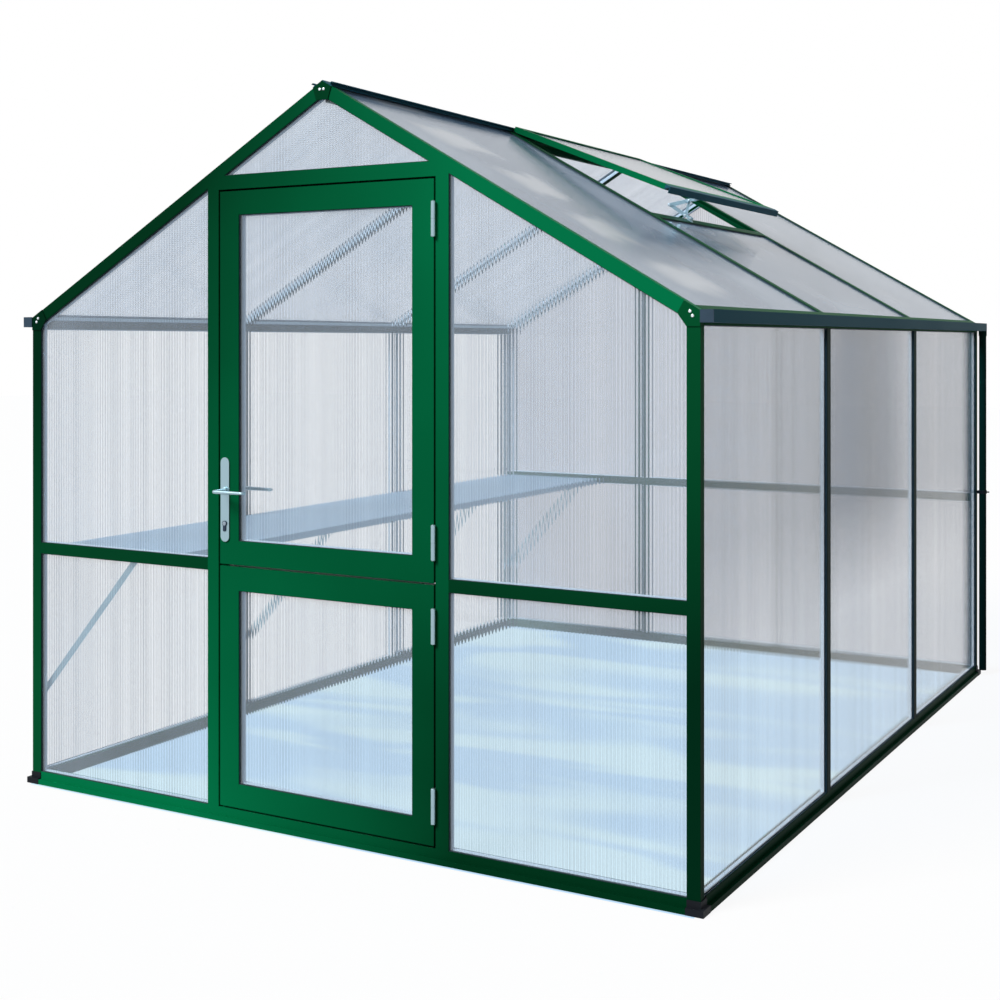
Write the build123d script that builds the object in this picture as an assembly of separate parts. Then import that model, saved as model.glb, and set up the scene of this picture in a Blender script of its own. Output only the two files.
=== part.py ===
from build123d import *
from math import cos, hypot, radians, sin, tan
import os

os.makedirs("parts", exist_ok=True)

# Overall sizes, in millimetres
house_width = 2400.0
house_length = 3260.0
eave_height = 1560.0
roof_pitch = 30.0
bays_long = 3

# Extruded frame profiles: face is what shows, depth goes into the house
post_face = 38.0
post_side_lip = 24.0
wall_depth = 28.0
rafter_face = 38.0
bar_face = 35.0
rail_face = 36.0
jamb_face = 43.0
jamb_depth = 42.0
cover_lip = 5.0
profile_wall = 3.0

# Twin-wall sheets and the grooves that hold them
sheet_thickness = 10.0
sheet_play = 0.3
groove_depth = 10.0

# Base frame
base_height = 40.0
base_depth = 38.0
base_lip_height = 16.0
base_lip_out = 12.0
foot_height = 19.0
foot_out = 13.0
foot_collar_height = 18.0
foot_collar_wall = 2.5

# Eave rail and ridge beam
eave_drop = 38.0
eave_arm = 28.0
arm_root = 5.0
ridge_arm = 28.0
ridge_web = 16.0
ridge_web_depth = 60.0
ridge_flare_depth = 36.0
mitre_gap = 0.3

# Ridge cap with its hinge channel for the roof vent
cap_leg = 36.0
cap_thickness = 2.5
cap_rear_out = 8.0
channel_bore_radius = 4.3
channel_wall = 2.2
channel_mouth = 110.0
bead_play = 0.3

# Gutters and downpipes
gutter_out = 38.0
gutter_height = 34.0
gutter_over_eave = 2.0
gutter_back_height = 30.0
gutter_wall = 2.0
gutter_lip = 5.0
gutter_front_out = 3.0
gutter_rear_out = 15.0
gutter_cap_thickness = 2.0
pipe_radius = 15.5
pipe_wall = 1.8
pipe_from_wall = 24.0
pipe_from_rear = 3.0
pipe_bottom = 22.0
spout_height = 22.0
spout_wall = 2.0
clamp_height = 813.0
clamp_band_height = 14.0
clamp_wall = 2.5
clamp_screw_radius = 3.0
clamp_screw_length = 9.0

# Mid rails of the front and rear walls
mid_rail_low = 771.0

# Doorway and the split door
leaf_width = 780.0
leaf_depth = 34.0
leaf_member = 73.0
leaf_cover = 6.0
door_gap = 6.3
header_over_eave = 389.0
header_face = 43.0
leaf_split = 790.0
stop_width = 10.0
stop_thickness = 3.0

# Door hinges
hinge_length = 99.0
hinge_radius = 7.0
hinge_pin_radius = 3.5
hinge_pin_play = 0.3
hinge_axis_out = 8.0
hinge_inset = 66.0
hinge_plate_thickness = 2.0
hinge_plate_depth = 24.0
hinge_half_gap = 0.5

# Lever set
lock_from_edge = 21.6
lock_plate_width = 33.0
lock_plate_height = 260.0
lock_plate_thickness = 4.0
lock_plate_below_spindle = 28.0
spindle_height = 1020.0
spindle_radius = 7.0
spindle_play = 1.0
lever_radius = 6.0
lever_reach = 52.0
lever_length = 115.0
lever_tip = 16.0
lever_bend = 9.0
collar_radius = 11.0
collar_length = 7.0
collar_play = 0.3
key_below_spindle = 102.0
key_radius = 8.5
key_fin_width = 10.0
key_total_height = 33.0
key_play = 0.3
key_proud = 3.0

# Gusset plates at the gable corners
plate_thickness = 3.0
plate_along_rafter = 52.0
plate_down_post = 42.0
ridge_plate_width = 66.0
ridge_plate_foot = 42.0
ridge_plate_drop = 56.0

# Roof vent, built open
vent_bay = 1
vent_trimmer_from_ridge = 679.0
vent_pivot_along = 35.0
vent_width = 1070.0
vent_neck = 9.0
vent_length = 635.0
vent_member = 26.0
vent_thickness = 20.0
vent_rest_play = 1.0
vent_cover = 4.0
vent_groove_depth = 8.0
vent_open_angle = 8.0
drip_length = 1096.0
drip_drop = 26.0
drip_out = 20.0
drip_fall = 3.0
drip_foot = 18.0
drip_wall = 2.5

# Opener of the vent: two pairs of links meeting at a knee, with a brace between them
opener_from_middle = 220.0
opener_knee_up_roof = 95.0
opener_knee_lift = 15.0
opener_pin_lift = 9.0
opener_pin_radius = 3.5
opener_link_width = 10.0
opener_link_thickness = 3.0
opener_inner_spread = 14.0
opener_outer_spread = 24.0
opener_brace_share = 0.75

# Shelf along the left wall
shelf_top = 790.0
shelf_depth = 520.0
shelf_sheet = 2.5
shelf_fold = 24.0
shelf_end_play = 0.5
strut_width = 20.0
strut_thickness = 3.0
strut_foot_height = 300.0
strut_head_from_wall = 440.0

# Values worked out from the driving sizes
half_width = house_width / 2
slope = tan(radians(roof_pitch))
slope_cos = cos(radians(roof_pitch))
slope_sin = sin(radians(roof_pitch))
ridge_height = eave_height + half_width * slope
slope_length = half_width / slope_cos
groove_width = sheet_thickness + 2 * sheet_play
groove_back = cover_lip + groove_width
sheet_reach = groove_depth - sheet_play
lever_front_out = lock_plate_thickness + lever_reach + lever_radius
gutter_rear_total = gutter_rear_out + gutter_cap_thickness
front_y = lever_front_out - (house_length + lever_front_out + gutter_rear_total) / 2
rear_y = front_y + house_length
mid_y = (front_y + rear_y) / 2
bay_pitch = house_length / bays_long
bar_ys = [front_y + bay_pitch * (i + 1) for i in range(bays_long - 1)]
post_inner_x = half_width - post_face
mid_rail_high = mid_rail_low + rail_face
leaf_half = leaf_width / 2
jamb_inner_x = leaf_half + door_gap
jamb_outer_x = jamb_inner_x + jamb_face
header_bottom = eave_height + header_over_eave
header_top = header_bottom + header_face
leaf_bottom = base_height + door_gap
leaf_top = header_bottom - door_gap
lower_leaf_top = leaf_split - door_gap / 2
upper_leaf_bottom = leaf_split + door_gap / 2
eave_bottom = eave_height - eave_drop
rafter_drop = rafter_face / slope_cos
shelf_outer_x = -(half_width - wall_depth)
shelf_inner_x = shelf_outer_x + shelf_depth
gutter_top = eave_height + gutter_over_eave
lock_x = -leaf_half + lock_from_edge
key_height = spindle_height - key_below_spindle
vent_pivot_up = cap_thickness + channel_bore_radius + channel_wall / 2


def save(name, solids):
    shape = Compound(children=list(solids)) if len(solids) > 1 else solids[0]
    export_step(shape, f"parts/{name}.step")


def block(x0, x1, y0, y1, z0, z1):
    size = (x1 - x0, y1 - y0, z1 - z0)
    return Pos((x0 + x1) / 2, (y0 + y1) / 2, (z0 + z1) / 2) * Box(*size)


def outline(points):
    return make_face(Polyline(*points, close=True))


def window(u0, u1, v0, v1):
    return Pos((u0 + u1) / 2, (v0 + v1) / 2) * Rectangle(u1 - u0, v1 - v0)


def along_z(section, origin, x_dir, z_from, z_to):
    # A section drawn in (u, v), u along x_dir and v into the house, raised from z_from to z_to
    plane = Plane(origin=(origin[0], origin[1], 0), x_dir=x_dir, z_dir=(0, 0, 1))
    return extrude(plane * section, amount=z_to - z_from).moved(Location((0, 0, z_from)))


def along_y(section, y_from, y_to):
    # A section drawn in (x, z), extruded along the house
    plane = Plane(origin=(0, y_to, 0), x_dir=(1, 0, 0), z_dir=(0, -1, 0))
    return extrude(plane * section, amount=y_to - y_from)


def along_x(section, x_from, x_to):
    # A section drawn in (y, z), extruded across the house
    plane = Plane(origin=(x_from, 0, 0), x_dir=(0, 1, 0), z_dir=(1, 0, 0))
    return extrude(plane * section, amount=x_to - x_from)


def across(shape):
    return mirror(shape, about=Plane.YZ)


def to_rear(shape):
    return mirror(shape, about=Plane(origin=(0, mid_y, 0), z_dir=(0, 1, 0)))


def keep_side(shape, point, normal):
    return split(shape, bisect_by=Plane(origin=point, z_dir=normal), keep=Keep.TOP)


def roof_point(t, n):
    # Right roof slope: t down the slope from the apex, n down from the roof's face
    return (t * slope_cos - n * slope_sin, ridge_height - t * slope_sin - n * slope_cos)


def under_rafters(shape):
    # Trims a piece of a gable wall to the lower edges of the two rafters
    apex = (0, 0, ridge_height - rafter_drop)
    right = keep_side(shape, apex, (-slope_sin, 0, -slope_cos))
    return keep_side(right, apex, (slope_sin, 0, -slope_cos))


def edge_profile():
    # Corner post and rafter: one groove for the gable sheet, one for the side or roof sheet
    face = outline([
        (0, 0), (post_face, 0), (post_face, cover_lip),
        (post_face - groove_depth, cover_lip), (post_face - groove_depth, groove_back),
        (post_face, groove_back), (post_face, wall_depth),
        (groove_back, wall_depth), (groove_back, wall_depth - groove_depth),
        (cover_lip, wall_depth - groove_depth), (cover_lip, post_side_lip), (0, post_side_lip),
    ])
    face -= window(profile_wall, post_face - groove_depth - profile_wall,
                   profile_wall, wall_depth - groove_depth - profile_wall)
    face -= window(groove_back + profile_wall, post_face - profile_wall,
                   groove_back + profile_wall, wall_depth - profile_wall)
    return face


def bar_profile(face_width):
    # Glazing bar: a cover strip, a hollow web and a groove each side, drawn about its middle
    half = face_width / 2
    face = window(-half, half, 0, wall_depth)
    face -= window(-half, -half + groove_depth, cover_lip, groove_back)
    face -= window(half - groove_depth, half, cover_lip, groove_back)
    web = half - groove_depth - profile_wall
    return face - window(-web, web, profile_wall, wall_depth - profile_wall)


def jamb_profile():
    # Door frame: u = 0 faces the leaf, with a stop behind it and the groove on the far side
    heel = jamb_face - groove_depth - profile_wall
    face = outline([
        (0, 0), (jamb_face, 0), (jamb_face, cover_lip), (jamb_face - groove_depth, cover_lip),
        (jamb_face - groove_depth, groove_back), (jamb_face, groove_back),
        (jamb_face, wall_depth), (heel, wall_depth), (heel, jamb_depth), (-stop_width, jamb_depth),
        (-stop_width, jamb_depth - stop_thickness), (0, jamb_depth - stop_thickness),
    ])
    return face - window(profile_wall, heel - profile_wall, profile_wall, jamb_depth - profile_wall)


# Base frame: four rails on the ground, a threshold at the front, and four moulded corners

def base_profile():
    # Drawn in (v, z): v from the outer face inwards, with a groove in the top for the sheets
    return outline([
        (-base_lip_out, 0), (base_depth, 0), (base_depth, base_height),
        (groove_back, base_height), (groove_back, base_height - groove_depth),
        (cover_lip, base_height - groove_depth), (cover_lip, base_height), (0, base_height),
        (0, base_lip_height), (-base_lip_out, base_lip_height),
    ])


base_front = Pos(0, front_y, 0) * along_x(base_profile(), -post_inner_x, post_inner_x)
side_from = front_y + base_depth
side_to = rear_y - base_depth
base_left = Pos(-half_width, 0, 0) * along_y(base_profile(), side_from, side_to)
save("base_front", [base_front])
save("base_rear", [to_rear(base_front)])
save("base_sides", [base_left, across(base_left)])


def base_corner():
    # Front right: a foot under the post, a collar round its outer faces and a plug behind it
    foot = block(post_inner_x, half_width + foot_out, front_y - foot_out,
                 front_y + base_depth, 0, foot_height)
    collar_top = foot_height + foot_collar_height
    collar = block(post_inner_x, half_width + foot_collar_wall, front_y - foot_collar_wall,
                   front_y, foot_height, collar_top)
    collar += block(half_width, half_width + foot_collar_wall, front_y,
                    front_y + base_depth, foot_height, collar_top)
    plug = block(post_inner_x, half_width, front_y + wall_depth,
                 front_y + base_depth, foot_height, collar_top)
    plug -= block(half_width - groove_back, half_width - cover_lip, front_y + wall_depth,
                  front_y + base_depth, base_height - groove_depth, collar_top)
    return foot + collar + plug


corner = base_corner()
save("base_corners", [corner, across(corner), to_rear(corner), to_rear(across(corner))])


# Corner posts, mitred at the top to meet the rafters

def corner_post():
    post = along_z(edge_profile(), (-half_width, front_y), (1, 0, 0), foot_height, ridge_height)
    return keep_side(post, (-half_width, 0, eave_height), (-slope, 0, -1))


post = corner_post()
save("corner_posts_front", [post, across(post)])
save("corner_posts_rear", [to_rear(post), to_rear(across(post))])


# Gable rafters, mitred on the post below and on each other at the ridge

def rafter():
    x_dir = (-slope_sin, 0, -slope_cos)
    start = (-slope_cos * post_face, front_y, ridge_height + slope_sin * post_face)
    plane = Plane(origin=start, x_dir=x_dir, z_dir=(slope_cos, 0, -slope_sin))
    bar = extrude(plane * edge_profile(), amount=slope_length + 2 * post_face)
    bar = keep_side(bar, (mitre_gap / 2, 0, 0), (1, 0, 0))
    return keep_side(bar, (half_width, 0, eave_height), (-slope, 0, 1))


front_rafter = rafter()
save("front_rafters", [front_rafter, across(front_rafter)])
save("rear_rafters", [to_rear(front_rafter), to_rear(across(front_rafter))])


# Door frame: two jambs and a header, all with the stop that the leaves close against

def jamb():
    x_dir = (1, 0, 0)
    bar = along_z(jamb_profile(), (jamb_inner_x, front_y), x_dir, base_height, ridge_height)
    bar -= block(jamb_inner_x - stop_width, jamb_inner_x, front_y, front_y + jamb_depth,
                 header_bottom, ridge_height)
    return under_rafters(bar)


def header():
    plane = Plane(origin=(-jamb_inner_x, front_y, header_bottom), x_dir=(0, 0, 1), z_dir=(1, 0, 0))
    section = mirror(jamb_profile(), about=Plane.XZ)
    bar = extrude(plane * section, amount=2 * jamb_inner_x)
    for side in (-1, 1):
        x_from = side * (jamb_inner_x - stop_width)
        stop_end = block(min(x_from, side * jamb_inner_x), max(x_from, side * jamb_inner_x),
                         front_y + jamb_depth - stop_thickness, front_y + jamb_depth,
                         header_bottom - stop_width, header_bottom)
        bar -= stop_end
    return under_rafters(bar)


door_jamb = jamb()
save("door_jambs", [door_jamb, across(door_jamb)])
save("door_header", [header()])


# Mid rails and rear mullions

def cross_rail(x_from, x_to):
    plane = Plane(origin=(x_from, front_y, mid_rail_low + rail_face / 2),
                  x_dir=(0, 0, 1), z_dir=(1, 0, 0))
    section = mirror(bar_profile(rail_face), about=Plane.XZ)
    return extrude(plane * section, amount=x_to - x_from)


mullion_x = (jamb_inner_x + jamb_outer_x) / 2
front_rail = cross_rail(jamb_outer_x, post_inner_x)
save("front_mid_rails", [front_rail, across(front_rail)])
mullion = under_rafters(along_z(bar_profile(jamb_face), (mullion_x, front_y), (1, 0, 0),
                                base_height, ridge_height))
save("rear_mullions", [to_rear(mullion), to_rear(across(mullion))])
middle_rail = cross_rail(-jamb_inner_x, jamb_inner_x)
save("rear_mid_rails", [to_rear(rail) for rail in (front_rail, across(front_rail), middle_rail)])


# Eave rails, with one groove for the roof sheets and one for the side sheets

def eave_profile(side):
    def at(t, n):
        return (half_width - t * slope_cos - n * slope_sin, eave_height + t * slope_sin - n * slope_cos)

    inner_x = half_width - wall_depth
    points = [
        (half_width, eave_height), at(eave_arm, 0), at(eave_arm, cover_lip),
        at(eave_arm - groove_depth, cover_lip), at(eave_arm - groove_depth, groove_back),
        at(eave_arm, groove_back), at(eave_arm, groove_back + arm_root),
        (inner_x, eave_height - wall_depth / 2), (inner_x, eave_bottom),
        (half_width - groove_back, eave_bottom),
        (half_width - groove_back, eave_bottom + groove_depth),
        (half_width - cover_lip, eave_bottom + groove_depth),
        (half_width - cover_lip, eave_bottom),
        (half_width, eave_bottom),
    ]
    return outline([(side * x, z) for x, z in points])


wall_from = front_y + wall_depth
wall_to = rear_y - wall_depth
save("eave_rails", [along_y(eave_profile(side), wall_from, wall_to) for side in (-1, 1)])


# Ridge beam and its cap

def ridge_profile():
    half = [
        (0, ridge_height), roof_point(ridge_arm, 0), roof_point(ridge_arm, cover_lip),
        roof_point(ridge_arm - groove_depth, cover_lip),
        roof_point(ridge_arm - groove_depth, groove_back),
        roof_point(ridge_arm, groove_back), roof_point(ridge_arm, groove_back + arm_root),
        (ridge_web / 2, ridge_height - ridge_flare_depth),
        (ridge_web / 2, ridge_height - ridge_web_depth),
    ]
    return outline(half + [(-x, z) for x, z in reversed(half[1:])])


def cap_profile():
    # A bent strip over the ridge, with a hinge channel along each lower edge
    up = cap_thickness
    half = [(0, ridge_height), roof_point(cap_leg, 0), roof_point(cap_leg, -up),
            (0, ridge_height + up / slope_cos)]
    face = outline(half[:3] + [half[3]] + [(-x, z) for x, z in reversed(half[1:3])])
    for side in (-1, 1):
        x, z = roof_point(vent_pivot_along, -vent_pivot_up)
        ring = Circle(channel_bore_radius + channel_wall) - Circle(channel_bore_radius)
        mouth = 3 * channel_bore_radius
        spread = tan(radians(channel_mouth / 2)) * mouth
        wedge = outline([(0, 0), (mouth, -spread), (mouth, spread)])
        ring -= wedge
        turned = Rot(0, 0, -roof_pitch) * ring
        if side < 0:
            turned = mirror(turned, about=Plane.YZ)
        face += Pos(side * x, z) * turned
    return face


save("ridge_beam", [along_y(ridge_profile(), wall_from, wall_to)])
save("ridge_cap", [along_y(cap_profile(), front_y, rear_y + cap_rear_out)])


# Wall bars and roof bars at the thirds of the length

def wall_bar(y, side):
    return along_z(turned_bar(side), (side * half_width, y), (1, 0, 0), base_height, eave_bottom)


def turned_bar(side):
    return Rot(0, 0, 90 * side) * bar_profile(bar_face)


def roof_bar(y, side):
    x, z = roof_point(ridge_arm, 0)
    plane = Plane(origin=(side * x, y, z), x_dir=(0, -side, 0), z_dir=(side * slope_cos, 0, -slope_sin))
    return extrude(plane * bar_profile(bar_face), amount=slope_length - ridge_arm - eave_arm)


save("wall_bars", [wall_bar(y, side) for side in (-1, 1) for y in bar_ys])
save("roof_bars", [roof_bar(y, side) for side in (-1, 1) for y in bar_ys])


def vent_trimmer():
    y_from = bar_ys[vent_bay - 1] + bar_face / 2
    y_to = bar_ys[vent_bay] - bar_face / 2
    x, z = roof_point(vent_trimmer_from_ridge, 0)
    plane = Plane(origin=(x, y_from, z), x_dir=(slope_cos, 0, -slope_sin), z_dir=(0, 1, 0))
    return extrude(plane * bar_profile(bar_face), amount=y_to - y_from)


save("vent_trimmer", [vent_trimmer()])


# Twin-wall sheets, each standing in the grooves round its bay

def wall_sheet(x0, x1, z0, z1):
    # A sheet of the front wall, cut to the rafters where it reaches them
    y0 = front_y + cover_lip + sheet_play
    low, high = z0 - sheet_reach, z1 + sheet_reach
    sheet = block(x0 - sheet_reach, x1 + sheet_reach, y0, y0 + sheet_thickness, low, high)
    apex = (0, 0, ridge_height - (rafter_face - sheet_reach) / slope_cos)
    sheet = keep_side(sheet, apex, (-slope_sin, 0, -slope_cos))
    return keep_side(sheet, apex, (slope_sin, 0, -slope_cos))


low_bay = (base_height, mid_rail_low)
high_bay = (mid_rail_high, ridge_height)
outer_sheets = [wall_sheet(jamb_outer_x, post_inner_x, *bay) for bay in (low_bay, high_bay)]
outer_sheets += [across(sheet) for sheet in outer_sheets]
gable_sheet = wall_sheet(-jamb_inner_x, jamb_inner_x, header_top, ridge_height)
save("front_sheets", outer_sheets + [gable_sheet])
middle_sheets = [wall_sheet(-jamb_inner_x, jamb_inner_x, *bay) for bay in (low_bay, high_bay)]
save("rear_sheets", [to_rear(sheet) for sheet in outer_sheets + middle_sheets])


def bay_limits(i):
    # The clear length of a side bay between its posts or bars
    y_from = bar_ys[i - 1] + bar_face / 2 if i > 0 else front_y + wall_depth
    y_to = bar_ys[i] - bar_face / 2 if i < bays_long - 1 else rear_y - wall_depth
    return y_from, y_to


def side_sheet(i, side):
    y_from, y_to = bay_limits(i)
    x_out = half_width - cover_lip - sheet_play
    x_in = x_out - sheet_thickness
    sheet = block(x_in, x_out, y_from - sheet_reach, y_to + sheet_reach,
                  base_height - sheet_reach, eave_bottom + sheet_reach)
    return sheet if side > 0 else across(sheet)


def roof_sheet(i, side, t_from, t_to):
    y_from, y_to = bay_limits(i)
    n_out = cover_lip + sheet_play
    n_in = n_out + sheet_thickness
    corners = [roof_point(t_from - sheet_reach, n_out), roof_point(t_to + sheet_reach, n_out),
               roof_point(t_to + sheet_reach, n_in), roof_point(t_from - sheet_reach, n_in)]
    sheet = along_y(outline(corners), y_from - sheet_reach, y_to + sheet_reach)
    return sheet if side > 0 else across(sheet)


sheet_top_t = ridge_arm
sheet_low_t = slope_length - eave_arm
trimmer_low_t = vent_trimmer_from_ridge + bar_face / 2
for name, side in (("left", -1), ("right", 1)):
    save(f"{name}_wall_sheets", [side_sheet(i, side) for i in range(bays_long)])
    roof = []
    for i in range(bays_long):
        top_t = trimmer_low_t if side > 0 and i == vent_bay else sheet_top_t
        roof.append(roof_sheet(i, side, top_t, sheet_low_t))
    save(f"{name}_roof_sheets", roof)


# Gutters, end caps and downpipes

def gutter_section():
    x0, x1 = half_width, half_width + gutter_out
    z0, z1 = gutter_top - gutter_height, gutter_top
    wall = gutter_wall
    return outline([
        (x0, z0), (x1, z0), (x1, z1), (x1 - gutter_lip, z1), (x1 - gutter_lip, z1 - wall),
        (x1 - wall, z1 - wall), (x1 - wall, z0 + wall), (x0 + wall, z0 + wall),
        (x0 + wall, z0 + gutter_back_height), (x0, z0 + gutter_back_height),
    ])


pipe_x = half_width + pipe_from_wall
pipe_y = rear_y - pipe_from_rear
gutter_from = front_y - gutter_front_out
gutter_to = rear_y + gutter_rear_out
gutter_low = gutter_top - gutter_height


def gutter():
    trough = along_y(gutter_section(), gutter_from, gutter_to)
    hole = Pos(pipe_x, pipe_y, gutter_low) * Cylinder(pipe_radius - pipe_wall, 4 * gutter_wall)
    return trough - hole


def gutter_cap(y_from, y_to):
    return block(half_width, half_width + gutter_out, y_from, y_to, gutter_low, gutter_top)


right_gutter = gutter()
save("gutters", [across(right_gutter), right_gutter])
caps = [gutter_cap(gutter_from - gutter_cap_thickness, gutter_from),
        gutter_cap(gutter_to, gutter_to + gutter_cap_thickness)]
save("gutter_end_caps", caps + [across(cap) for cap in caps])


def downpipe():
    # A tube with a wider spout under the gutter
    height = gutter_low - pipe_bottom
    tube = Pos(pipe_x, pipe_y, pipe_bottom + height / 2) * Cylinder(pipe_radius, height)
    spout = Pos(pipe_x, pipe_y, gutter_low - spout_height / 2)
    tube += spout * Cylinder(pipe_radius + spout_wall, spout_height)
    bore = Pos(pipe_x, pipe_y, pipe_bottom + height / 2)
    return tube - bore * Cylinder(pipe_radius - pipe_wall, height + gutter_wall)


def pipe_clamp():
    # A band round the pipe, with an arm to the rear corner post and a screw at the outside
    outer = pipe_radius + clamp_wall
    at = Pos(pipe_x, pipe_y, clamp_height)
    band = at * Cylinder(outer, clamp_band_height)
    arm = block(half_width, pipe_x, pipe_y - outer, pipe_y - outer + 2 * clamp_wall,
                clamp_height - clamp_band_height / 2, clamp_height + clamp_band_height / 2)
    ear = Pos(pipe_x + outer + clamp_screw_length / 2, pipe_y, clamp_height)
    screw = ear * Rot(0, 90, 0) * Cylinder(clamp_screw_radius, clamp_screw_length + clamp_wall)
    return band + arm + screw - at * Cylinder(pipe_radius, 2 * clamp_band_height)


pipe = downpipe()
save("downpipes", [across(pipe), pipe])
clamp = pipe_clamp()
save("pipe_clamps", [across(clamp), clamp])


# Gusset plates over the corners of both gables

def eave_plate():
    # Bent like the frame: up the post's face, then along the rafter, cut straight inside
    low = eave_height - plate_down_post
    end_t = slope_length - plate_along_rafter
    section = outline([(half_width, low), (half_width, eave_height), roof_point(end_t, 0),
                       roof_point(end_t, rafter_face), (post_inner_x, low)])
    return along_y(section, front_y - plate_thickness, front_y)


def ridge_plate():
    half = ridge_plate_width / 2
    foot = ridge_plate_foot / 2
    shoulder = ridge_height - half * slope
    low = ridge_height - ridge_plate_drop
    section = outline([(0, ridge_height), (half, shoulder), (foot, low), (-foot, low), (-half, shoulder)])
    return along_y(section, front_y - plate_thickness, front_y)


plates = [eave_plate(), across(eave_plate()), ridge_plate()]
save("gable_plates", plates + [to_rear(plate) for plate in plates])


# Roof vent: a framed sheet hung in the ridge cap's channel, standing open on its opener

vent_y = (bar_ys[vent_bay - 1] + bar_ys[vent_bay]) / 2
pivot_x, pivot_z = roof_point(vent_pivot_along, -vent_pivot_up)


def vent_point(a, b):
    # In the flap's own section: a from the pivot down the flap, b above its middle
    lift = radians(roof_pitch - vent_open_angle)
    return (pivot_x + a * cos(lift) + b * sin(lift), pivot_z - a * sin(lift) + b * cos(lift))


def vent_bar(points, y0, y1):
    return along_y(outline([vent_point(a, b) for a, b in points]), y0, y1)


def vent_slab(a0, a1, b0, b1, y0, y1):
    return vent_bar([(a0, b0), (a1, b0), (a1, b1), (a0, b1)], y0, y1)


vent_a1 = vent_neck + vent_length
vent_b0 = vent_rest_play - vent_pivot_up
vent_b1 = vent_b0 + vent_thickness
vent_y0 = vent_y - vent_width / 2
vent_y1 = vent_y + vent_width / 2
vent_sheet_b1 = vent_b1 - vent_cover - sheet_play


def vent_frame():
    ring = vent_slab(vent_neck, vent_a1, vent_b0, vent_b1, vent_y0, vent_y1)
    ring -= vent_slab(vent_neck + vent_member, vent_a1 - vent_member, vent_b0, vent_b1,
                      vent_y0 + vent_member, vent_y1 - vent_member)
    edge = vent_member - vent_groove_depth
    ring -= vent_slab(vent_neck + edge, vent_a1 - edge, vent_sheet_b1 - sheet_thickness - sheet_play,
                      vent_b1 - vent_cover, vent_y0 + edge, vent_y1 - edge)
    neck_half = channel_bore_radius / 3
    ring += vent_slab(0, vent_neck, -neck_half, neck_half, vent_y0, vent_y1)
    bead = Pos(pivot_x, pivot_z) * Circle(channel_bore_radius - bead_play)
    return ring + along_y(bead, vent_y0, vent_y1)


def vent_sheet():
    edge = vent_member - vent_groove_depth + sheet_play
    return vent_slab(vent_neck + edge, vent_a1 - edge, vent_sheet_b1 - sheet_thickness,
                     vent_sheet_b1, vent_y0 + edge, vent_y1 - edge)


def vent_drip():
    # A turned-down strip under the lower edge, a little longer than the flap
    outer = vent_a1 + drip_out
    inner = outer - drip_wall
    points = [(vent_a1, vent_b1), (outer, vent_b1 - drip_fall), (outer, vent_b1 - drip_drop),
              (inner, vent_b1 - drip_drop), (inner, vent_b1 - drip_fall - drip_wall),
              (vent_a1, vent_b1 - drip_foot)]
    return vent_bar(points, vent_y - drip_length / 2, vent_y + drip_length / 2)


save("vent_frame", [vent_frame()])
save("vent_sheet", [vent_sheet()])
save("vent_drip_bar", [vent_drip()])


# Vent opener: a foot on the trimmer, a knee above the opening and a head under the flap

def strip(p, q, width, past_ends=0.0):
    # A flat bar seen from its side: the line from p to q, widened both ways and run past its ends
    length = hypot(q[0] - p[0], q[1] - p[1])
    ux, uz = (q[0] - p[0]) / length, (q[1] - p[1]) / length
    nx, nz = -uz * width / 2, ux * width / 2
    x0, z0 = p[0] - ux * past_ends, p[1] - uz * past_ends
    x1, z1 = q[0] + ux * past_ends, q[1] + uz * past_ends
    return outline([(x0 + nx, z0 + nz), (x1 + nx, z1 + nz), (x1 - nx, z1 - nz), (x0 - nx, z0 - nz)])


def link(p, q, y):
    section = strip(p, q, opener_link_width, opener_link_width / 2)
    return along_y(section, y - opener_link_thickness / 2, y + opener_link_thickness / 2)


def link_pair(p, q, spread):
    return link(p, q, opener_y - spread / 2) + link(p, q, opener_y + spread / 2)


def pin(p, spread):
    # Riveted over flush with the outer faces of the links that it joins
    half = (spread + opener_link_thickness) / 2
    return round_bar(p[0], p[1], opener_y - half, opener_y + half, opener_pin_radius)


def lug(p, base, half_long):
    # A block between the pin and the face that it is screwed to
    section = outline([p] + base)
    return along_y(section, opener_y - half_long, opener_y + half_long)


def round_bar(x, z, y0, y1, radius):
    return Pos(x, (y0 + y1) / 2, z) * Rot(90, 0, 0) * Cylinder(radius, y1 - y0)


opener_y = vent_y - opener_from_middle


def opener():
    foot_t = vent_trimmer_from_ridge
    foot = roof_point(foot_t, -opener_pin_lift)
    foot_base = [roof_point(foot_t + side * bar_face / 3, 0) for side in (-1, 1)]
    knee = roof_point(foot_t - opener_knee_up_roof, -opener_knee_lift)
    head_a = vent_a1 - vent_member / 2
    head = vent_point(head_a, vent_b0 - opener_pin_lift)
    head_base = [vent_point(head_a + side * vent_member / 3, vent_b0) for side in (1, -1)]
    half_lug = opener_inner_spread / 2
    links = link_pair(foot, knee, opener_inner_spread) + link_pair(knee, head, opener_outer_spread)
    near_head = [k + (h - k) * opener_brace_share for k, h in zip(knee, head)]
    near_foot = [k + (f - k) * opener_brace_share for k, f in zip(knee, foot)]
    brace = link(near_head, near_foot, opener_y)
    for p in (foot, near_foot):
        links += pin(p, opener_inner_spread)
    for p in (knee, near_head, head):
        links += pin(p, opener_outer_spread)
    return links + brace + lug(foot, foot_base, half_lug) + lug(head, head_base, half_lug)


save("vent_opener", [opener()])


# Shelf along the left wall: a folded tray with cross ribs, on four struts

def shelf_rib_ys():
    # Each strut bolts to the side of a post or bar, and its rib lies against its inner side
    plays = [(wall_from, 1)]
    plays += [(y + bar_face / 2, 1) for y in bar_ys]
    plays.append((wall_to, -1))
    return plays


shelf_low = shelf_top - shelf_fold
strut_head_x = -half_width + strut_head_from_wall


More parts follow.
